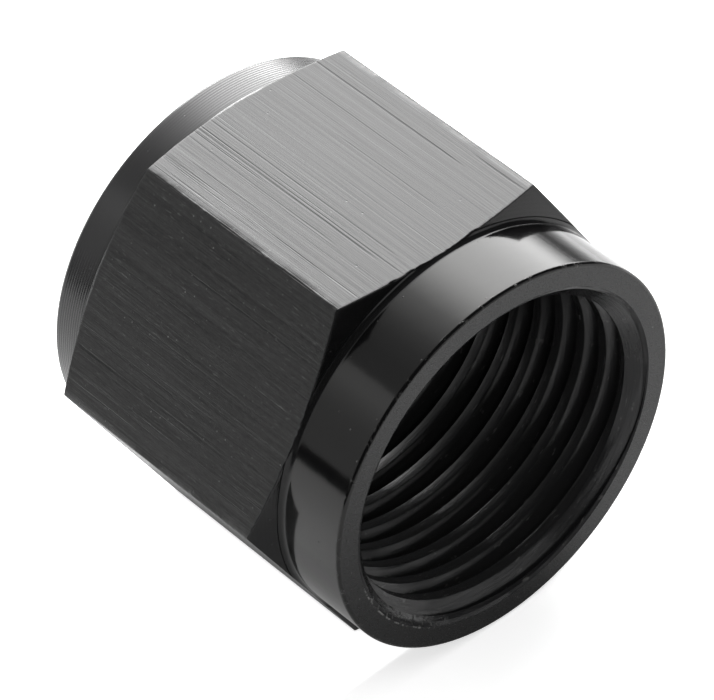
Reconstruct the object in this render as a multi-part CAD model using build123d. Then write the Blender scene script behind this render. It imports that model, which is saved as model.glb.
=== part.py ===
from build123d import *
from build123d.topology import SkipClean
import math
import os

# Hexagonal tube nut for a 37 degree flared tube, one solid, in millimetres.
# It is turned from hexagon bar: a round collar at the threaded mouth, a hexagon
# with both ends chamfered, and a round tail where the tube comes out.
# The nut lies on one flat. Its axis runs along X with the mouth towards +X.
# The origin is under the middle of the length, on the plane it lies on.
# Axial sizes are measured back from the mouth face.

# Hexagon bar
across_flats = 22.225
overall_length = 21.5
collar_length = 4.08
tail_length = 2.20
front_chamfer_angle = 16.4
rear_chamfer_angle = 21.8

# Round collar at the mouth, and round tail, with each rounding's number of facets
collar_diameter = 22.0
collar_root_radius = 0.40
collar_root_facets = 2
collar_edge_radius = 0.18
collar_edge_facets = 1
tail_diameter = 22.08
tail_root_radius = 0.20
tail_root_facets = 1
tail_edge_radius = 0.45
tail_edge_facets = 2

# Internal thread, right hand, 60 degree form
thread_major_diameter = 19.05
thread_minor_diameter = 17.60
thread_pitch = 25.4 / 16
thread_form_angle = 60.0
thread_root_clearance = 0.07
thread_depth = 12.0
# the groove crosses the mouth face at this angle from the underside
thread_start_angle = 97.5

# Countersunk mouth, with a flatter break at its edge
mouth_diameter = 19.40
mouth_break_depth = 0.08
countersink_diameter = 19.03
countersink_angle = 90.0

# Relief behind the thread, seat for the sleeve, and bore for the tube
relief_clearance = 0.05
relief_width = 2.0
seat_mouth_diameter = 17.60
seat_angle = 66.0
tube_diameter = 12.70
tube_clearance = 1.05
tail_bore_chamfer = 0.30

# how far cutting shapes run past the faces that they cut
overcut = 0.25

across_corners = across_flats / math.cos(math.radians(30))
blank_radius = across_corners / 2 + overcut
minor_radius = thread_minor_diameter / 2
major_radius = thread_major_diameter / 2
tail_bore_radius = tube_diameter / 2 + tube_clearance


def chamfer_drop(radius, angle):
    # axial distance of a chamfer cone at a radius from the cone's place at a flat's middle
    return (radius - across_flats / 2) * math.tan(math.radians(angle))


def turned(points):
    # solid of revolution about Z from (radius, height) points
    return revolve(Plane.XZ * make_face(Polyline(points, close=True)), Axis.Z)


# Turned outline of the blank, as (radius, height) with the mouth face at height 0
collar_radius = collar_diameter / 2
tail_radius = tail_diameter / 2
hex_rear = overall_length - tail_length
mouth_centre = (0, 0)
collar_edge = (collar_radius, 0)
collar_root = (collar_radius, -collar_length - chamfer_drop(collar_radius, front_chamfer_angle))
front_tip = (blank_radius, -collar_length - chamfer_drop(blank_radius, front_chamfer_angle))
rear_tip = (blank_radius, -hex_rear + chamfer_drop(blank_radius, rear_chamfer_angle))
tail_root = (tail_radius, -hex_rear + chamfer_drop(tail_radius, rear_chamfer_angle))
tail_edge = (tail_radius, -overall_length)
tail_centre = (0, -overall_length)


def rounded(before, corner, after, radius, facets):
    # points on the arc that rounds a corner between its two neighbours, joined by facets
    tip = Vector(*corner)
    first = (Vector(*before) - tip).normalized()
    second = (Vector(*after) - tip).normalized()
    half_angle = math.radians(first.get_angle(second) / 2)
    middle = tip + (first + second).normalized() * (radius / math.sin(half_angle))
    start = tip + first * (radius / math.tan(half_angle)) - middle
    finish = tip + second * (radius / math.tan(half_angle)) - middle
    points = []
    for step in range(facets + 1):
        share = step / facets
        spoke = (start * (1 - share) + finish * share).normalized() * radius
        points.append(((middle + spoke).X, (middle + spoke).Y))
    return points


turning = turned(
    [
        mouth_centre,
        *rounded(mouth_centre, collar_edge, collar_root, collar_edge_radius, collar_edge_facets),
        *rounded(collar_edge, collar_root, front_tip, collar_root_radius, collar_root_facets),
        front_tip,
        rear_tip,
        *rounded(rear_tip, tail_root, tail_edge, tail_root_radius, tail_root_facets),
        *rounded(tail_root, tail_edge, tail_centre, tail_edge_radius, tail_edge_facets),
        tail_centre,
    ]
)

# The bar has a corner on each side of the Y axis, so two of its flats face along X
bar_section = RegularPolygon(across_flats / 2, 6, major_radius=False, rotation=30)
bar = extrude(bar_section, -overall_length)
blank = bar & turning

# Bore at the thread's minor diameter, its wall in four quarters
bore_arcs = [CenterArc((0, 0, 0), minor_radius, 90 * quarter, 90) for quarter in range(4)]
bore = extrude(make_face(bore_arcs), -thread_depth - relief_width, clean=False)

# Countersink down to the crests, and the break at its edge
countersink_radius = countersink_diameter / 2
countersink_slope = math.tan(math.radians(countersink_angle / 2))
countersink_depth = mouth_break_depth + (countersink_radius - minor_radius) / countersink_slope
countersink = turned(
    [
        (0, 0),
        (mouth_diameter / 2, 0),
        (countersink_radius, -mouth_break_depth),
        (minor_radius, -countersink_depth),
        (0, -countersink_depth),
    ]
)

# Relief groove, sleeve seat and tube bore
root_radius = major_radius + thread_root_clearance
relief_radius = root_radius + relief_clearance
seat_top = thread_depth + relief_width
seat_radius = seat_mouth_diameter / 2
seat_depth = (seat_radius - tail_bore_radius) / math.tan(math.radians(seat_angle / 2))
cavity = turned(
    [
        (0, -thread_depth),
        (relief_radius, -thread_depth),
        (relief_radius, -seat_top),
        (seat_radius, -seat_top),
        (tail_bore_radius, -seat_top - seat_depth),
        (tail_bore_radius, -overall_length + tail_bore_chamfer),
        (tail_bore_radius + tail_bore_chamfer, -overall_length),
        (0, -overall_length),
    ]
)

# Helical groove between the crests, turn by turn from the relief to past the mouth face
flank_slope = math.tan(math.radians(thread_form_angle / 2))
root_half_width = thread_pitch / 16 - thread_root_clearance * flank_slope
inner_radius = minor_radius - overcut
inner_half_width = root_half_width + (root_radius - inner_radius) * flank_slope
groove_section = Plane.XZ * make_face(
    Polyline(
        [
            (inner_radius, -inner_half_width),
            (root_radius, -root_half_width),
            (root_radius, root_half_width),
            (inner_radius, inner_half_width),
        ],
        close=True,
    )
)
groove_turn = sweep(groove_section, path=Helix(thread_pitch, thread_pitch, minor_radius), is_frenet=True)
groove_end = thread_depth + relief_width / 2
end_angle = thread_start_angle - 360 * groove_end / thread_pitch
turn_count = math.ceil(groove_end / thread_pitch + 1)
groove = [
    Pos(0, 0, turn * thread_pitch - groove_end) * Rot(0, 0, end_angle) * groove_turn
    for turn in range(turn_count)
]

# The crests keep the bore's quarter faces, so nothing is merged in these cuts
with SkipClean():
    nut = blank.cut(countersink, bore, cavity)
    nut = nut.cut(*groove)

# Lay the nut on a flat with its mouth towards +X
placed = Pos(overall_length / 2, 0, across_flats / 2) * Rot(0, 90, 0) * nut.solids()[0]

os.makedirs("parts", exist_ok=True)
export_step(placed, "parts/tube_nut.step")
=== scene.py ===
import math

import bpy
import numpy as np
from mathutils import Matrix, Vector


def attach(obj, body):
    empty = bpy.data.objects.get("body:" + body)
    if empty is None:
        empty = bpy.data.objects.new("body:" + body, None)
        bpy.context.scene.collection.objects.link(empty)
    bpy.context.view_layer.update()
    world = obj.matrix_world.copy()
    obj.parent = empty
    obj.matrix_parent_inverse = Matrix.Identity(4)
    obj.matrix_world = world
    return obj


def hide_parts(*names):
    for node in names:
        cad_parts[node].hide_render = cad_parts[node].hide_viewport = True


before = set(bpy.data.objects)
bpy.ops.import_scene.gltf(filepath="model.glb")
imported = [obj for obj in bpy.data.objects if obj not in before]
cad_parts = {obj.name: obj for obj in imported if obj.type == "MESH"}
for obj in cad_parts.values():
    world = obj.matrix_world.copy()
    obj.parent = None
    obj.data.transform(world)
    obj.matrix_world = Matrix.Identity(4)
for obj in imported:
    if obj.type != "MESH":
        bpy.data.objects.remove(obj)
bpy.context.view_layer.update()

# A black tube nut that lies on a flat, its axis along X and its threaded mouth towards +X.
# The nut's sizes are in mm. Heights run along its axis, 0 at the mouth face and negative into the nut.
# Angles go round its axis in degrees, from +Y towards +Z, with the hexagon's corners at 0, 60, 120 and on.
MM = 0.001

# Hexagon, with the places of its chamfer cones at the middle of a flat
AF = 22.225
LENGTH = 21.5
HEX_FRONT = 4.08
HEX_REAR = 19.30
FRONT_TAN = math.tan(math.radians(16.4))
REAR_TAN = math.tan(math.radians(21.8))
CORNER_STEP = 60
HALF_SIDE = math.radians(CORNER_STEP / 2)
CORNER_ROUND = 0.12
CONE_END_R = AF / 2 / math.cos(HALF_SIDE) + 0.4  # the cones are drawn to just past the corners
TEAR = 0.10  # how far the grain is torn back from the front chamfer at most
REAR_TEAR_SHARE = 0.6
TEAR_SEED = 7
TEARS_PER_DEGREE = 4

# Round collar and tail
COLLAR_R = 11.0
COLLAR_EDGE = 0.18
COLLAR_ROOT = 0.36
TAIL_R = 11.04
TAIL_EDGE = 0.32
TAIL_ROOT = 0.20

# Mouth: a flat break at the edge, then the countersink
MOUTH_R = 9.70
BREAK_DEPTH = 0.08
CSK_R = 9.515
CSK_TAN = math.tan(math.radians(45))

# Right-hand thread of 60 degree form
MINOR_R = 8.80
MAJOR_R = 9.525
ROOT_R = 9.61
PITCH = 25.4 / 16
FLANK_TAN = math.tan(math.radians(30))
THREAD_DEPTH = 12.0
START_ANGLE = 7.5  # where the groove crosses the mouth face
GROOVE_HALF = PITCH / 16 + (MAJOR_R - MINOR_R) * FLANK_TAN  # half the groove's width between the crests
ROOT_MOUTH, ROOT_DEEP = 0.07, -0.005  # the root's two ends, a little off the groove's middle
CREST_MOUTH, CREST_DEEP = 0.05, 0.08  # roundings of the crests on both sides of the groove

# Relief, sleeve seat and tube bore
RELIEF_END = 14.0
RELIEF_R = 9.645
RELIEF_CHAMFER = 0.1
RELIEF_STEP = 0.05
SEAT_R = 8.80
SEAT_TAN = math.tan(math.radians(33))
BORE_R = 7.40
BORE_CHAMFER = 0.30

# The mesh's rows. Those this close to an edge, in mm, hold the shading beside it.
CREASE_ROW = 0.006
MOUTH_ROW = 0.01
RIM_ROW = 0.03
KNEE_ROW = 0.035
WALL_ROW = 0.05
FLAT_ROW = 0.07
CONE_ROWS = 5  # as many on each chamfer cone
BREAK_ROWS = (-0.004, -0.02, -0.04, -0.06, -BREAK_DEPTH + CREASE_ROW)  # heights of those on the break
FLANK_ROWS = (0.3, 0.65, 0.9)  # places on the groove's flanks, as shares from crest to root
MOUTH_CREASES = (0, BREAK_ROWS[0], BREAK_ROWS[-1], -BREAK_DEPTH - CREASE_ROW)
MOUTH_TURNS = 2  # turns of the thread that can meet the countersink

# The mesh's columns, in degrees from a corner: close together on its rounding, then even along the flat
CORNER_COLUMNS = (0.0, 0.10, 0.19, 0.28, 0.42, 0.8)
FIRST_COLUMN, LAST_COLUMN, FLAT_COLUMNS = 1.5, 58.5, 57
SEAM_START, SEAM_END = -90.0, 270.0
WELD = 2e4  # points that agree when their mm are multiplied by this and rounded are one
LEVEL = 1e-3  # mm within which two heights are the same
SMOOTH_ANGLE = math.radians(32)

ZONES = ["face", "collar", "front_cone", "flat", "rear_cone", "tail", "tail_face", "bore", "thread"]
ZONES_ALONG_AXIS = ("collar", "flat", "tail", "bore", "thread")


def line(a, b, steps):
    """Points from a to b, both ends included."""
    return [(a[0] + (b[0] - a[0]) * k / steps, a[1] + (b[1] - a[1]) * k / steps) for k in range(steps + 1)]


def arc_corner(before, corner, after, radius, steps):
    """Points on the arc of that radius that rounds a corner of a flat outline."""
    a, c, b = (np.array(p, float) for p in (before, corner, after))
    u = (a - c) / np.linalg.norm(a - c)
    v = (b - c) / np.linalg.norm(b - c)
    half = math.acos(float(np.clip(u @ v, -1, 1))) / 2
    start = c + u * radius / math.tan(half)
    middle = c + (u + v) / np.linalg.norm(u + v) * radius / math.sin(half)
    end = c + v * radius / math.tan(half)
    p, q = start - middle, end - middle
    turn = math.atan2(p[0] * q[1] - p[1] * q[0], p @ q)
    points = []
    for k in range(steps + 1):
        t = turn * k / steps
        points.append((middle[0] + p[0] * math.cos(t) - p[1] * math.sin(t),
                       middle[1] + p[0] * math.sin(t) + p[1] * math.cos(t)))
    return points


def knee(a, corner, b):
    """The middle point of a small rounding between a and b."""
    return ((a[0] + 2 * corner[0] + b[0]) / 4, (a[1] + 2 * corner[1] + b[1]) / 4)


def hexagon_radius(theta):
    """Distance from the axis to the hexagon's side, its corners a little rounded."""
    off = math.radians((theta + CORNER_STEP / 2) % CORNER_STEP - CORNER_STEP / 2)  # from the nearest corner
    inner = (AF / 2 - CORNER_ROUND) / math.cos(HALF_SIDE)
    tangent = HALF_SIDE - math.atan((AF / 2 - CORNER_ROUND) * math.tan(HALF_SIDE) / (AF / 2))
    if abs(off) < tangent:
        return inner * math.cos(off) + math.sqrt(max(CORNER_ROUND**2 - (inner * math.sin(off)) ** 2, 0))
    return AF / 2 / math.cos(HALF_SIDE - abs(off))


# Turned lines from the collar and the tail through their roots and up the chamfer cones
front_root = (-HEX_FRONT - (COLLAR_R - AF / 2) * FRONT_TAN, COLLAR_R)
front_far = (-HEX_FRONT - (CONE_END_R - AF / 2) * FRONT_TAN, CONE_END_R)
front_curve = arc_corner((0, COLLAR_R), front_root, front_far, COLLAR_ROOT, steps=10) + [front_far]
rear_root = (-HEX_REAR + (TAIL_R - AF / 2) * REAR_TAN, TAIL_R)
rear_far = (-HEX_REAR + (CONE_END_R - AF / 2) * REAR_TAN, CONE_END_R)
rear_curve = arc_corner((-LENGTH, TAIL_R), rear_root, rear_far, TAIL_ROOT, steps=6) + [rear_far]


def cone_rows(curve, limit, root_rows):
    """The turned line out to where its radius reaches limit, in a fixed number of rows, and its end."""
    points = np.array(curve)
    run = np.r_[0, np.cumsum(np.linalg.norm(np.diff(points, axis=0), axis=1))]
    above = int(np.argmax(points[:, 1] > limit))
    p, q = points[above - 1], points[above]
    share = (limit - p[1]) / (q[1] - p[1])
    stop = run[above - 1] + share * (run[above] - run[above - 1])

    def at(s):
        return (float(np.interp(s, run, points[:, 0])), float(np.interp(s, run, points[:, 1])))

    last = stop - 3 * KNEE_ROW
    first = min(run[-2], last)
    rows = [at(first * k / root_rows) for k in range(root_rows)]
    rows += [at(first + (last - first) * k / CONE_ROWS) for k in range(CONE_ROWS + 1)]
    return rows + [at(stop - KNEE_ROW)], at(stop)


def groove_side(side, root, crest_round):
    """Points from crest to root on one side of the groove, the crest's edge rounded."""
    end = (root, ROOT_R)
    middle, edge = (side * PITCH / 2, MINOR_R), (side * GROOVE_HALF, MINOR_R)
    crest = arc_corner(middle, edge, end, crest_round, steps=3)
    flank = [tuple(np.array(crest[-1]) * (1 - f) + np.array(end) * f) for f in FLANK_ROWS]
    return crest + flank + [end]


# The groove's outline across one pitch, as (offset from its middle, radius), from the mouth side inwards
groove_rows = [(PITCH / 2, MINOR_R)] + groove_side(1, ROOT_MOUTH, CREST_MOUTH)
groove_rows += list(reversed(groove_side(-1, ROOT_DEEP, CREST_DEEP)))
profile_x = np.array([x for x, r in groove_rows] + [-PITCH / 2])[::-1]
profile_r = np.array([r for x, r in groove_rows] + [MINOR_R])[::-1]


def countersink(x):
    """Radius of the mouth at height x."""
    if x < -BREAK_DEPTH:
        return CSK_R + (x + BREAK_DEPTH) * CSK_TAN
    return MOUTH_R + x * (MOUTH_R - CSK_R) / BREAK_DEPTH


def wall(x, shift):
    """Radius of the threaded and countersunk wall at height x, where the groove's middle is at shift."""
    off = (x - shift + PITCH / 2) % PITCH - PITCH / 2
    return max(float(np.interp(off, profile_x, profile_r)), countersink(x))


def between(a, b):
    """A point of the wall between two neighbours: where the thread meets the countersink, or halfway."""
    gap_a, gap_b = a[1] - countersink(a[0]), b[1] - countersink(b[0])
    f = gap_a / (gap_a - gap_b) if gap_a * gap_b < 0 else 0.5
    return (a[0] + (b[0] - a[0]) * f, a[1] + (b[1] - a[1]) * f)


def thread_rows(theta):
    """Rows of the threaded wall at one angle, from the mouth's edge inwards."""
    shift = PITCH * (theta - START_ANGLE) / 360
    turns = math.ceil(THREAD_DEPTH / PITCH) + 1
    thread = [(shift - n * PITCH + off, r) for n in range(turns) for off, r in groove_rows]
    near = MOUTH_TURNS * len(groove_rows)
    points = []
    for a, b in zip(thread[:near], thread[1:]):
        points += [a, between(a, b)]
    rows = [(x, wall(x, shift)) for x in BREAK_ROWS]
    for x, r in points + thread[near:]:
        if x > -BREAK_DEPTH - CREASE_ROW or x < -THREAD_DEPTH:
            x = min(max(x, -THREAD_DEPTH), -BREAK_DEPTH - CREASE_ROW)
            r = wall(x, shift)
        rows.append((x, max(r, countersink(x))))
    return rows


tears = np.random.default_rng(TEAR_SEED).random((2, 360 * TEARS_PER_DEGREE)) ** 2 * TEAR


def torn_back(theta, end):
    """How far the grain is torn back from a chamfer at one angle, end 0 at the front and 1 at the rear."""
    return float(np.interp(theta % 360 * TEARS_PER_DEGREE, np.arange(tears.shape[1]), tears[end]))


def column(theta):
    """Rows (height, radius, zone) of the nut at one angle, as a closed loop from the face outwards."""
    limit = hexagon_radius(theta)
    rows = []

    def add(points, zone):
        rows.extend((x, r, ZONES.index(zone)) for x, r in points)

    add(line((0, MOUTH_R + MOUTH_ROW), (0, COLLAR_R - COLLAR_EDGE - RIM_ROW), steps=3), "face")
    edge = arc_corner((0, 0), (0, COLLAR_R), (-HEX_FRONT, COLLAR_R), COLLAR_EDGE, steps=7)
    front, corner = cone_rows(front_curve, limit, root_rows=6)
    add(edge, "collar")
    add(line((edge[-1][0] - WALL_ROW, COLLAR_R), (front[0][0] + WALL_ROW, COLLAR_R), steps=3), "collar")

    rear, far_corner = cone_rows(rear_curve, limit, root_rows=4)
    flat_start = (corner[0] - RIM_ROW - torn_back(theta, 0), limit)
    flat_end = (far_corner[0] + RIM_ROW + REAR_TEAR_SHARE * torn_back(theta, 1), limit)
    add(front + [knee(front[-1], corner, flat_start)], "front_cone")
    add([flat_start], "flat")
    add(line((flat_start[0] - FLAT_ROW, limit), (flat_end[0] + FLAT_ROW, limit), steps=10), "flat")
    add([flat_end], "flat")
    add([knee(flat_end, far_corner, rear[-1])] + rear[::-1], "rear_cone")

    tail = arc_corner((0, TAIL_R), (-LENGTH, TAIL_R), (-LENGTH, 0), TAIL_EDGE, steps=9)
    add(line((rear[0][0] - WALL_ROW, TAIL_R), (tail[0][0] + WALL_ROW, TAIL_R), steps=4), "tail")
    add(tail, "tail")
    add(line((-LENGTH, tail[-1][1] - WALL_ROW), (-LENGTH, BORE_R + BORE_CHAMFER), steps=3), "tail_face")

    seat_end = -RELIEF_END - (SEAT_R - BORE_R) / SEAT_TAN
    add(line((-LENGTH + BORE_CHAMFER, BORE_R), (seat_end, BORE_R), steps=3), "bore")
    add([(-RELIEF_END, SEAT_R), (-RELIEF_END, RELIEF_R - RELIEF_CHAMFER),
         (-RELIEF_END + RELIEF_CHAMFER, RELIEF_R), (-THREAD_DEPTH - RELIEF_CHAMFER, RELIEF_R),
         (-THREAD_DEPTH, RELIEF_R - RELIEF_STEP)], "bore")
    add(reversed(thread_rows(theta)), "thread")
    return rows


def column_angles():
    """Angles of the mesh's columns, from the seam under the nut once round."""
    angles = {SEAM_START, SEAM_END}
    for corner in range(-2 * CORNER_STEP, 5 * CORNER_STEP + 1, CORNER_STEP):
        for offset in CORNER_COLUMNS:
            angles.update((round(corner - offset, 4), round(corner + offset, 4)))
        angles.update(round(corner + a, 4) for a in np.linspace(FIRST_COLUMN, LAST_COLUMN, FLAT_COLUMNS))
    return np.array(sorted(a for a in angles if SEAM_START <= a <= SEAM_END))


def nut_mesh(name):
    """The nut's surface, each face with its zone's material and its surface coordinates in mm.

    The first surface coordinate is the height along the axis, or the radius where a zone is steep.
    The second is the angle's length round the nut at the flats' distance from the axis.
    """
    angles = column_angles()
    grid = np.array([column(a) for a in angles])
    x, r = grid[:, :, 0], grid[:, :, 1]
    zone = grid[0, :, 2].astype(int)
    turn = np.radians(np.r_[angles[:-1], angles[0]])[:, None]  # the last column lies on the first
    place = np.stack([x + LENGTH / 2, r * np.cos(turn), r * np.sin(turn) + AF / 2], axis=2).reshape(-1, 3)
    keys = np.round(place * WELD).astype(np.int64)
    _, first, index = np.unique(keys, axis=0, return_index=True, return_inverse=True)
    index = index.reshape(x.shape)
    faces, uvs, zones = [], [], []
    columns, rows = x.shape
    for j in range(columns - 1):
        for i in range(rows):
            k = (i + 1) % rows
            coordinate = x if ZONES[zone[i]] in ZONES_ALONG_AXIS else r
            face = {}
            for a, b in ((j, i), (j, k), (j + 1, k), (j + 1, i)):
                face.setdefault(int(index[a, b]), (coordinate[a, b], AF / 2 * math.radians(angles[a])))
            if len(face) > 2:
                faces.append(list(face))
                uvs.extend(face.values())
                zones.append(zone[i])
    mesh = bpy.data.meshes.new(name)
    mesh.from_pydata((place[first] * MM).tolist(), [], faces)
    layer = mesh.uv_layers.new(name="surface")
    layer.data.foreach_set("uv", np.array(uvs, dtype=np.float32).reshape(-1))
    mesh.polygons.foreach_set("material_index", np.array(zones, dtype=np.int32))
    mesh.update()
    return mesh


def shade(mesh):
    """Smooth shading with sharp edges where the surface turns steeply and along the mouth's creases."""
    mesh.shade_smooth()
    mesh.set_sharp_from_angle(angle=SMOOTH_ANGLE)
    sharp = mesh.attributes["sharp_edge"].data
    points = [v.co / MM - Vector((LENGTH / 2, 0, AF / 2)) for v in mesh.vertices]
    for edge in mesh.edges:
        a, b = (points[i] for i in edge.vertices)
        if abs(a.x - b.x) < LEVEL and math.hypot(a.y, a.z) < MOUTH_R + 2 * MOUTH_ROW:
            if any(abs(a.x - height) < LEVEL for height in MOUTH_CREASES):
                sharp[edge.index].value = True


# Materials. Lengths on the surface are in mm, scales are in features per mm.
FULL_TURN = AF / 2 * 2 * math.pi  # the second surface coordinate once round
FLAT_WIDTH = FULL_TURN / 6  # and across one flat
TOP, SIDE = 90, 150  # middles of the two flats that show
SIDE_FLATS = (121, 239)  # from and to, the flats on the left
FACE_TORN, WALL_TORN = (198, 236), (200, 238)  # where metal is torn up at the mouth's lowest part
FACE_TORN_WIDTH, WALL_TORN_DEPTH = 0.06, 0.30
LIP_UNSHADED = (243, 290)  # the one sector where the mouth's edge is left without painted shade
LIP_DEPTH = BREAK_DEPTH + 0.05
INNER_LIGHT_START = -BREAK_DEPTH - 0.75  # where painted light on the thread begins, just past the countersink
NICK_REACH = 0.16  # how far nicks reach back from the collar's edge
PAINTED_SHADE_RING_R = COLLAR_R + 0.26  # a ring of painted shade, a weaker reflection, where the collar's root meets the cone
RING_WIDTH, RING_SOFT = 0.03, 0.025
DRAWN_LINES = [  # place across, width, start, end, depth
    (TOP, -4.85, 0.09, -19.3, -9.0, 1.0),
    (TOP, 1.83, 0.08, -19.0, -6.0, 0.7),
    (TOP, 2.48, 0.07, -19.0, -5.0, 0.8),
    (TOP, 2.68, 0.10, -19.0, -7.0, 1.1),
    (TOP, 2.95, 0.07, -19.2, -15.0, 0.9),
    (TOP, 3.42, 0.08, -18.0, -9.0, 0.6),
    (TOP, 5.20, 0.09, -18.4, -16.2, 1.0),
    (TOP, -5.78, 0.07, -7.2, -5.4, 1.0),
    (TOP, -3.40, 0.07, -19.0, -11.0, 0.5),
    (TOP, -1.95, 0.07, -13.0, -7.5, 0.5),
    (SIDE, -3.27, 0.09, -13.5, -5.0, 1.0),
    (SIDE, 0.65, 0.10, -17.0, -9.0, 0.5),
    (SIDE, 3.65, 0.12, -18.0, -8.0, 1.0),
    (SIDE, -1.30, 0.08, -18.0, -12.0, 0.7),
]


def around(theta):
    """Second surface coordinate at an angle."""
    return AF / 2 * math.radians(theta)


def on_flat(middle, across):
    """Second surface coordinate of a point that far from the middle line of a flat."""
    return around(middle) + AF / 2 * math.atan(across / (AF / 2))


class Nodes:
    """A material's node tree, and short words for what its surface is made of."""

    def __init__(self, name):
        self.material = bpy.data.materials.new(name)
        self.material.use_nodes = True
        self.tree = self.material.node_tree
        self.shader = self.tree.nodes["Principled BSDF"]

    def node(self, kind, inputs=(), **settings):
        n = self.tree.nodes.new(kind)
        for key, value in settings.items():
            setattr(n, key, value)
        for key, value in dict(inputs).items():
            self.put(n, key, value)
        return n

    def put(self, n, key, value):
        if isinstance(value, bpy.types.NodeSocket):
            self.tree.links.new(value, n.inputs[key])
        else:
            n.inputs[key].default_value = value

    def math(self, operation, a, b=0.0):
        return self.node("ShaderNodeMath", inputs={0: a, 1: b}, operation=operation).outputs[0]

    def plus(self, a, b):
        return self.math("ADD", a, b)

    def minus(self, a, b):
        return self.math("SUBTRACT", a, b)

    def times(self, a, b):
        return self.math("MULTIPLY", a, b)

    def larger(self, a, b):
        return self.math("MAXIMUM", a, b)

    def ramp(self, factor, stops):
        """Grey by (place, value) stops."""
        n = self.node("ShaderNodeValToRGB", inputs={0: factor})
        elements = n.color_ramp.elements
        while len(elements) < len(stops):
            elements.new(0.5)
        for element, (place, value) in zip(elements, stops):
            element.position = place
            element.color = (value, value, value, 1)
        return n.outputs[0]

    def rise(self, factor, low, high, floor=0):
        """From floor at low to one at high."""
        return self.ramp(factor, [(low, floor), (high, 1)])

    def surface(self):
        """The two surface coordinates in mm."""
        uv = self.node("ShaderNodeUVMap", uv_map="surface")
        parts = self.node("ShaderNodeSeparateXYZ", inputs={"Vector": uv.outputs[0]})
        return parts.outputs["X"], parts.outputs["Y"]

    def scaled(self, scale_u, scale_v, shift=0.0):
        """The surface coordinates, each with its own scale."""
        uv = self.node("ShaderNodeUVMap", uv_map="surface")
        scale, location = (scale_u, scale_v, 1), (shift, shift, 0)
        inputs = {"Vector": uv.outputs[0], "Scale": scale, "Location": location}
        return self.node("ShaderNodeMapping", inputs=inputs).outputs[0]

    def noise(self, scale_u, scale_v, shift=0.0, detail=3.0, rough=0.55):
        """Noise on the surface, finer where a scale is larger."""
        where = self.scaled(scale_u, scale_v, shift)
        inputs = {"Vector": where, "Scale": 1.0, "Detail": detail, "Roughness": rough}
        return self.node("ShaderNodeTexNoise", inputs=inputs).outputs["Fac"]

    def window(self, value, low, high, soft):
        """One between low and high, falling softly to nothing outside."""
        rising = {"Value": value, "From Min": low - soft, "From Max": low}
        falling = {"Value": value, "From Min": high + soft, "From Max": high}
        rise = self.node("ShaderNodeMapRange", inputs=rising)
        fall = self.node("ShaderNodeMapRange", inputs=falling)
        return self.times(rise.outputs[0], fall.outputs[0])

    def sector(self, v, span, soft):
        """One between two angles, falling softly to nothing outside."""
        return self.window(v, around(span[0]), around(span[1]), soft)

    def specks(self, per_mm, size, share, shift=0.0):
        """Small round spots, on a share of the cells of a scattered grid."""
        inputs = {"Vector": self.scaled(per_mm, per_mm, shift), "Scale": 1.0}
        cells = self.node("ShaderNodeTexVoronoi", inputs=inputs, voronoi_dimensions="2D")
        reach = size * per_mm
        within = {"Value": cells.outputs["Distance"], "From Min": reach, "From Max": reach * 0.5}
        spot = self.node("ShaderNodeMapRange", inputs=within)
        pick = self.node("ShaderNodeSeparateXYZ", inputs={"Vector": cells.outputs["Color"]})
        strength = self.plus(self.math("POWER", pick.outputs["Y"], 2.0), 0.15)
        strength = self.times(strength, self.math("LESS_THAN", pick.outputs["X"], share))
        return self.times(spot.outputs[0], strength)

    def drawn_lines(self, u, v):
        """Single drawn lines along the axis, added together."""
        stray = self.times(self.minus(self.noise(0.25, 0.0, detail=2.0), 0.5), 0.05)
        moved = self.plus(v, stray)
        total = None
        for flat, across, width, start, end, depth in DRAWN_LINES:
            place = on_flat(flat, across)
            mark = self.times(self.window(moved, place - width / 4, place + width / 4, width / 2),
                              self.window(u, start, end, 1.2))
            mark = self.times(mark, depth)
            total = mark if total is None else self.plus(total, mark)
        return total

    def finish(self, height, depth, roughness, ior, base, light=None, light_tone=0.15):
        """Bump of that depth in mm, roughness and tone; light picks out spots of bare or dusty metal."""
        relief = {"Height": height, "Strength": 1.0, "Distance": depth * MM}
        bump = self.node("ShaderNodeBump", inputs=relief)
        self.put(self.shader, "Normal", bump.outputs["Normal"])
        self.put(self.shader, "Roughness", roughness)
        self.put(self.shader, "IOR", ior)
        tone = (base, base, base * 1.04, 1)
        if light is not None:
            mix = self.node("ShaderNodeMix", data_type="RGBA")
            self.put(mix, 0, light)
            self.put(mix, 6, tone)
            self.put(mix, 7, (light_tone, light_tone, light_tone * 0.98, 1))
            tone = mix.outputs[2]
        self.put(self.shader, "Base Color", tone)
        return self.material


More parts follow.
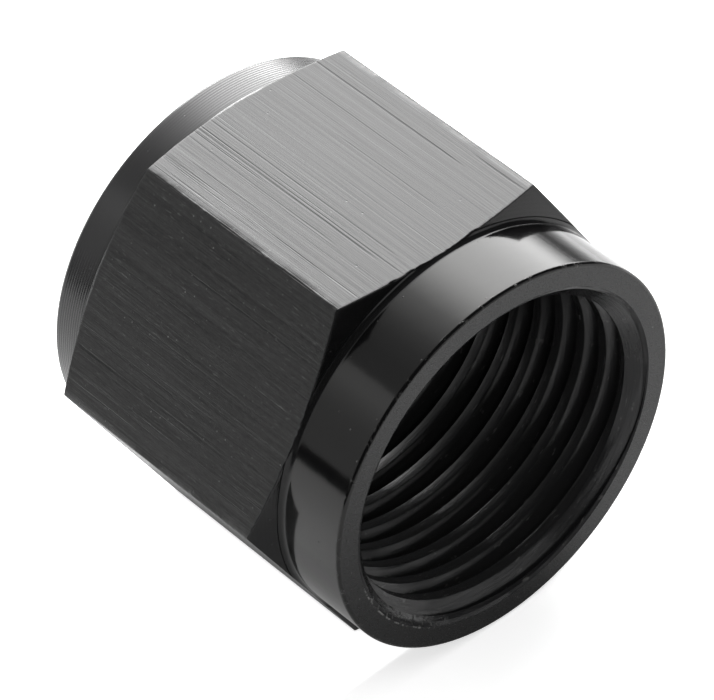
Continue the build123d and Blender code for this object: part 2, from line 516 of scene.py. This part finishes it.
def flat_material():
    """Drawn bar: grain and single lines along the axis, rolled corners, and dust on the left."""
    n = Nodes("drawn_flat")
    u, v = n.surface()
    fine = n.noise(0.13, 18, detail=4.0, rough=0.65)
    coarse = n.noise(0.05, 4.3, shift=7.3, rough=0.6)
    sparse = n.rise(n.noise(0.07, 7.5, shift=3.7, detail=2.0, rough=0.5), 0.60, 0.70)
    marks = n.drawn_lines(u, v)

    # The grain is stronger towards one edge of each flat, and on the left
    side = n.sector(v, SIDE_FLATS, 1.0)
    across = n.math("FRACT", n.math("DIVIDE", v, FLAT_WIDTH))
    busy = n.ramp(across, [(0.0, 0.5), (0.06, 0.25), (0.45, 0.25), (0.80, 0.55), (0.93, 1.2)])
    loud = n.larger(busy, n.times(side, 0.8))

    near_edge = n.minus(1.0, n.math("PINGPONG", n.math("DIVIDE", v, FLAT_WIDTH / 2), 1.0))
    rolled = n.math("POWER", n.rise(near_edge, 0.945, 1.0), 2.0)
    rolled = n.times(rolled, n.rise(n.noise(0.35, 0.3, shift=8.8, detail=4.0), 0.42, 0.62, floor=0.1))

    height = n.times(fine, n.plus(n.times(loud, 0.8), 0.5))
    height = n.plus(height, n.times(coarse, 0.5))
    height = n.minus(height, n.times(sparse, busy))
    height = n.minus(height, n.times(marks, 0.8))
    height = n.minus(height, n.specks(per_mm=0.8, size=0.06, share=0.12, shift=5.1))
    height = n.minus(height, n.times(rolled, 8.0))

    streak = n.rise(n.plus(n.times(fine, 0.55), n.times(coarse, 0.45)), 0.36, 0.64)
    swing = n.plus(n.times(loud, 0.15), 0.09)
    shine = n.plus(n.times(n.minus(streak, 0.5), swing), 0.52)
    n.put(n.shader, "Specular IOR Level", n.minus(shine, n.times(marks, 0.16)))

    cluster = n.times(side, n.rise(n.noise(0.4, 0.9, shift=4.9), 0.42, 0.62, floor=0.1))
    dust = n.times(n.specks(per_mm=1.6, size=0.05, share=0.35), n.plus(cluster, 0.05))
    fleck = n.times(n.rise(n.noise(1.6, 9.0, shift=2.6, detail=2.0), 0.60, 0.72), n.times(cluster, 0.35))
    mottle = n.rise(n.noise(2.2, 7.0, shift=1.7, rough=0.65), 0.35, 0.68)
    tone = n.plus(n.times(streak, 0.09), n.times(n.times(mottle, side), 0.08))
    light = n.plus(n.larger(dust, fleck), tone)
    dull = n.plus(n.times(coarse, 0.16), 0.24)
    return n.finish(height, depth=0.012, roughness=dull, ior=1.385, base=0.002,
                    light=light, light_tone=0.11)


def turned_material(name, pitch, depth, roughness, ior, base, contrast, spots=0.0, painted_shade_ring=None):
    """A turned surface: fine rings, uneven in strength, a little grain and perhaps one ring of painted
    shade.
    """
    n = Nodes(name)
    u, _ = n.surface()
    ring = n.math("SINE", n.times(u, 2 * math.pi / pitch))
    uneven = n.plus(n.times(n.noise(0.9, 0.08, detail=2.0), 1.3), 0.35)
    ring = n.times(ring, uneven)
    grain = n.noise(9, 0.35, shift=2.2, rough=0.6)
    height = n.plus(n.times(ring, 0.5), grain)
    dull = n.plus(n.times(grain, 0.10), roughness - 0.05)
    shine = n.plus(n.times(ring, contrast), 0.5)
    # Painted shade: a thin ring where the reflection is made weaker
    if painted_shade_ring is not None:
        shine = n.minus(shine, n.times(n.window(u, painted_shade_ring, painted_shade_ring + RING_WIDTH, RING_SOFT), 0.45))
    n.put(n.shader, "Specular IOR Level", shine)
    light = n.specks(per_mm=1.3, size=0.05, share=spots, shift=1.9) if spots else None
    return n.finish(height, depth, dull, ior, base, light)


def face_material():
    """Satin mouth face, with metal torn up at the lowest part of its inner edge."""
    n = Nodes("satin_face")
    u, v = n.surface()
    rings = n.noise(7, 0.25, rough=0.6)
    tooth = n.noise(9, 9, shift=4.4, rough=0.6)
    height = n.plus(n.times(rings, 0.5), n.times(tooth, 0.35))
    dull = n.plus(n.times(tooth, 0.12), 0.22)
    inner_edge = n.window(u, MOUTH_R, MOUTH_R + FACE_TORN_WIDTH, 0.06)
    torn = n.times(inner_edge, n.sector(v, FACE_TORN, 1.0))
    torn = n.times(torn, n.rise(n.noise(3, 2.4, shift=1.3, detail=2.0), 0.50, 0.58))
    light = n.larger(torn, n.specks(per_mm=1.2, size=0.055, share=0.12, shift=8.8))
    return n.finish(height, depth=0.004, roughness=dull, ior=1.36, base=0.004,
                    light=light, light_tone=0.16)


def collar_material():
    """Polished collar, with small nicks along its front edge."""
    n = Nodes("polished_collar")
    u, _ = n.surface()
    ripple = n.noise(1.5, 0.8, rough=0.5)
    dust = n.specks(per_mm=0.9, size=0.05, share=0.12, shift=3.3)
    rim = n.window(u, -NICK_REACH, 0.0, 0.06)
    nick = n.times(rim, n.rise(n.noise(4, 1.6, shift=6.6, rough=0.7), 0.56, 0.66))
    height = n.plus(ripple, n.times(n.larger(dust, nick), 2.5))
    dull = n.plus(n.times(n.noise(0.6, 0.25, shift=6.1), 0.05), 0.085)
    n.put(n.shader, "Specular Tint", (1.0, 0.994, 0.978, 1))
    light = n.larger(dust, n.times(nick, 0.4))
    return n.finish(height, depth=0.004, roughness=dull, ior=1.36, base=0.004,
                    light=light, light_tone=0.06)


def thread_material():
    """Cut thread and countersink: tool marks, painted shade on the lip, torn metal lowest down, painted
    light further in.
    """
    n = Nodes("thread_wall")
    u, v = n.surface()
    cut = n.noise(11, 0.40, detail=4.0, rough=0.7)
    blotch = n.noise(0.9, 0.9, shift=5.5, rough=0.6)
    torn = n.times(n.window(u, -WALL_TORN_DEPTH, 0.0, 0.1), n.sector(v, WALL_TORN, 1.5))
    torn = n.times(torn, n.rise(n.noise(5, 2.2, shift=3.3), 0.54, 0.62))
    height = n.plus(n.times(cut, 1.9), n.times(blotch, 1.2))
    height = n.plus(height, n.times(torn, 3.0))
    dull = n.plus(n.times(blotch, 0.18), 0.11)

    # Painted shade: the lip at the mouth's edge reflects less, except in one sector
    lip = n.window(u, -LIP_DEPTH, 0.0, 0.03)
    lip_shade = n.times(lip, n.minus(1.0, n.sector(v, LIP_UNSHADED, 1.5)))
    shine = n.plus(n.times(n.rise(cut, 0.38, 0.62), 0.22), 0.36)
    n.put(n.shader, "Specular IOR Level", n.minus(shine, n.times(lip_shade, 0.30)))

    scratch = n.rise(n.noise(6, 0.8, shift=9.1, detail=2.0), 0.62, 0.70)
    dust = n.specks(per_mm=1.5, size=0.05, share=0.12, shift=0.7)
    light = n.times(n.larger(scratch, dust), n.rise(blotch, 0.45, 0.6))
    # Painted light: the thread further in than the countersink is given a lighter tone
    painted_inner_light = n.times(n.math("LESS_THAN", u, INNER_LIGHT_START), 0.08)
    light = n.larger(n.larger(light, painted_inner_light), torn)
    return n.finish(height, depth=0.008, roughness=dull, ior=1.36, base=0.012,
                    light=light, light_tone=0.06)


materials = {
    "face": face_material(),
    "collar": collar_material(),
    "front_cone": turned_material("front_chamfer", pitch=0.21, depth=0.0010, roughness=0.17, ior=1.35,
                                  base=0.007, contrast=0.012, spots=0.12, painted_shade_ring=PAINTED_SHADE_RING_R),
    "flat": flat_material(),
    "rear_cone": turned_material("rear_chamfer", pitch=0.21, depth=0.0010, roughness=0.20, ior=1.38,
                                 base=0.006, contrast=0.02),
    "tail": turned_material("turned_tail", pitch=0.16, depth=0.0050, roughness=0.24, ior=1.44,
                            base=0.009, contrast=0.09, spots=0.10),
    "tail_face": turned_material("tail_end", pitch=0.20, depth=0.002, roughness=0.25, ior=1.38,
                                 base=0.006, contrast=0.03),
    "bore": turned_material("bore_wall", pitch=0.20, depth=0.002, roughness=0.28, ior=1.38,
                            base=0.006, contrast=0.03),
    "thread": thread_material(),
}

nut = bpy.data.objects.new("nut_surface", nut_mesh("nut_surface"))
bpy.context.scene.collection.objects.link(nut)
for zone in ZONES:
    nut.data.materials.append(materials[zone])
shade(nut.data)
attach(nut, "root")
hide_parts("tube_nut")

# The studio, in metres. Cards and tents light the nut and are seen in its surface, but not by the camera.
AXIS_HEIGHT = AF / 2 * MM
MOUTH = Vector((LENGTH / 2, 0, AF / 2)) * MM  # the middle of the mouth
FLOOR_TONE = 0.8
FLOOR_SIZE = 6
SEEN_FLOOR_GLOW = 0.65
NEAR_FLOOR_GLOW = 0.18
CARD_GLOW = 1.8  # brightness that a card's or tent's strength of one stands for
FILL_POWER = 2.4
FRONT_FILL_POWER = 0.4
ROOM_GLOW = 0.04
TENT_R = 0.5
TENT_STEPS = 40


def plain(name, value, shine=0.1, glow=0.0):
    """A dull material of one grey, which may glow a little."""
    n = Nodes(name)
    n.put(n.shader, "Base Color", (value, value, value, 1))
    n.put(n.shader, "Roughness", 0.9)
    n.put(n.shader, "Specular IOR Level", shine)
    n.put(n.shader, "Emission Color", (1, 1, 1, 1))
    n.put(n.shader, "Emission Strength", glow)
    return n.material


def lit(name, stops):
    """Light only, by (place, strength) stops along a card's second coordinate."""
    n = Nodes(name)
    n.tree.nodes.clear()
    uv = n.node("ShaderNodeUVMap", uv_map="card")
    parts = n.node("ShaderNodeSeparateXYZ", inputs={"Vector": uv.outputs[0]})
    most = max(strength for _, strength in stops)
    colour = n.ramp(parts.outputs["Y"], [(place, strength / most) for place, strength in stops])
    emission = n.node("ShaderNodeEmission", inputs={"Color": colour, "Strength": most * CARD_GLOW})
    n.node("ShaderNodeOutputMaterial", inputs={"Surface": emission.outputs[0]})
    return n.material


def studio_piece(name, points, faces, coordinates, material):
    """A sheet of the studio that the camera doesn't see and that throws no shadow."""
    mesh = bpy.data.meshes.new(name)
    mesh.from_pydata(points, [], faces)
    uv = mesh.uv_layers.new(name="card")
    for loop, at in zip(uv.data, coordinates):
        loop.uv = at
    mesh.materials.append(material)
    sheet = bpy.data.objects.new(name, mesh)
    bpy.context.scene.collection.objects.link(sheet)
    sheet.visible_camera = False
    sheet.visible_shadow = False
    return sheet


def card(name, place, width, height, material, target=None):
    """A rectangle, facing a target, or else lying flat and facing up."""
    w, h = width / 2, height / 2
    sheet = studio_piece(name, [(-w, -h, 0), (w, -h, 0), (w, h, 0), (-w, h, 0)], [(0, 1, 2, 3)],
                         [(0, 0), (1, 0), (1, 1), (0, 1)], material)
    sheet.matrix_world = Matrix.Translation(place)
    if target:
        toward = (Vector(target) - Vector(place)).normalized()
        sheet.matrix_world = Matrix.Translation(place) @ toward.to_track_quat("Z", "Y").to_matrix().to_4x4()
    return sheet


def tent(name, rear, front, stops):
    """Part of a round light tent about the nut's axis, with (angle, strength) stops along its arc."""
    low, high = stops[0][0], stops[-1][0]
    points, faces, coordinates = [], [], []
    for k in range(TENT_STEPS + 1):
        angle = math.radians(low + (high - low) * k / TENT_STEPS)
        for x in (rear, front):
            points.append((x, TENT_R * math.cos(angle), AXIS_HEIGHT + TENT_R * math.sin(angle)))
    for k in range(TENT_STEPS):
        start, end = k / TENT_STEPS, (k + 1) / TENT_STEPS
        faces.append((2 * k, 2 * k + 1, 2 * k + 3, 2 * k + 2))
        coordinates += [(0, start), (1, start), (1, end), (0, end)]
    shares = [((angle - low) / (high - low), strength) for angle, strength in stops]
    studio_piece(name, points, faces, coordinates, lit(name + "_light", shares))


def lamp(name, place, size, power, target=None):
    """A square lamp that isn't seen in the nut, aimed at a target or else straight down."""
    data = bpy.data.lights.new(name, "AREA")
    data.size = size
    data.energy = power
    light = bpy.data.objects.new(name, data)
    light.location = place
    if target:
        light.rotation_euler = (light.location - target).to_track_quat("Z", "Y").to_euler()
    light.visible_glossy = False
    bpy.context.scene.collection.objects.link(light)


# One floor is seen in the nut and lights it. The other, just above it, is what the camera sees.
card("floor", place=(0, 0, 0), width=FLOOR_SIZE, height=FLOOR_SIZE,
     material=plain("pale_floor", FLOOR_TONE))
seen_floor = card("seen_floor", place=(0, 0, 0.00002), width=FLOOR_SIZE, height=FLOOR_SIZE,
                  material=plain("white_floor", FLOOR_TONE, glow=SEEN_FLOOR_GLOW))
seen_floor.visible_camera = True
seen_floor.visible_glossy = False
seen_floor.visible_diffuse = False
tent("tent", rear=-0.46, front=-0.12, stops=[
    (1, 0.9), (4, 1.5), (8, 2.9), (12, 4.4), (16, 5.0), (36, 5.3), (46, 5.5), (56, 5.6),
    (62, 5.1), (68, 4.4), (76, 3.0), (84, 1.65), (92, 1.1), (100, 0.62), (108, 0.4), (118, 0.3),
    (131.6, 0.3), (132.2, 0.9), (140, 0.92), (148, 0.66), (156, 0.5), (168, 0.45), (181, 0.45),
])
tent("rear_tent", rear=-1.38, front=-0.46, stops=[
    (2, 9), (9, 10.5), (18, 8), (30, 7), (40, 6), (56, 4.6), (68, 3.0), (76, 2.0), (88, 1.25),
    (104, 0.75), (118, 0.5), (179, 0.5),
])

# Cards on the floor and before the mouth, which the nut's lower half and its mouth face show
card("table_fade", place=(-0.21, 0.275, 0.001), width=0.48, height=0.45, material=lit("table_glow", [
    (0, 1.3), (0.027, 1.25), (0.062, 0.68), (0.12, 0.45), (0.238, 0.16), (1, 0.3)]))
card("table_gap", place=(0, -0.25, 0.0005), width=1.2, height=0.33,
     material=plain("dark_gap", 0.0, shine=0.0))
# A glowing patch of floor beside the nut, seen only in its surface: painted light that lifts the nut's
# shadow where the collar shows it
card("near_floor", place=(-0.0355, -0.040, 0.0001), width=0.089, height=0.07,
     material=plain("near_floor", FLOOR_TONE, glow=NEAR_FLOOR_GLOW))
card("front_card", place=(0.40, 0.20, 0.071), width=0.36, height=0.13,
     material=lit("front_glow", [(0, 0.75), (1, 0.75)]), target=(0, 0, 0.01))
card("front_gap", place=(0.29, -0.15, 0.001), width=0.42, height=0.5,
     material=lit("front_dark", [(0, 0.11), (1, 0.11)]))
lamp("fill", place=(0.1, -0.1, 0.7), size=0.7, power=FILL_POWER)
lamp("front_fill", place=(0.45, -0.26, 0.39), size=0.25, power=FRONT_FILL_POWER, target=MOUTH)

world = bpy.data.worlds.new("room")
bpy.context.scene.world = world
world.use_nodes = True
world.node_tree.nodes["Background"].inputs["Color"].default_value = (1, 1, 1, 1)
world.node_tree.nodes["Background"].inputs["Strength"].default_value = ROOM_GLOW
bpy.context.scene.view_settings.view_transform = "Standard"
bpy.context.scene.view_settings.look = "None"

# The camera, as fitted to the photograph. Its place is given from the middle of the mouth, in mm.
AZIMUTH, ELEVATION, ROLL = (math.radians(angle) for angle in (50.513, 43.645, -3.122))
DISTANCE, OFF_RIGHT, OFF_UP = 277.385, -7.300, 5.323
LENS, SENSOR = 284.92, 36
CLIP_START = 0.01
toward = Vector((math.sin(AZIMUTH) * math.cos(ELEVATION), -math.cos(AZIMUTH) * math.cos(ELEVATION),
                 math.sin(ELEVATION)))
level_right = Vector((math.cos(AZIMUTH), math.sin(AZIMUTH), 0))
level_up = toward.cross(level_right)
right = level_right * math.cos(ROLL) + level_up * math.sin(ROLL)
up = level_up * math.cos(ROLL) - level_right * math.sin(ROLL)
eye = MOUTH + (toward * DISTANCE + right * OFF_RIGHT + up * OFF_UP) * MM
camera_data = bpy.data.cameras.new("camera")
camera_data.lens = LENS
camera_data.sensor_width = SENSOR
camera_data.clip_start = CLIP_START
camera = bpy.data.objects.new("camera", camera_data)
bpy.context.scene.collection.objects.link(camera)
camera.matrix_world = Matrix((
    (right.x, up.x, toward.x, eye.x),
    (right.y, up.y, toward.y, eye.y),
    (right.z, up.z, toward.z, eye.z),
    (0, 0, 0, 1),
))
bpy.context.scene.camera = camera
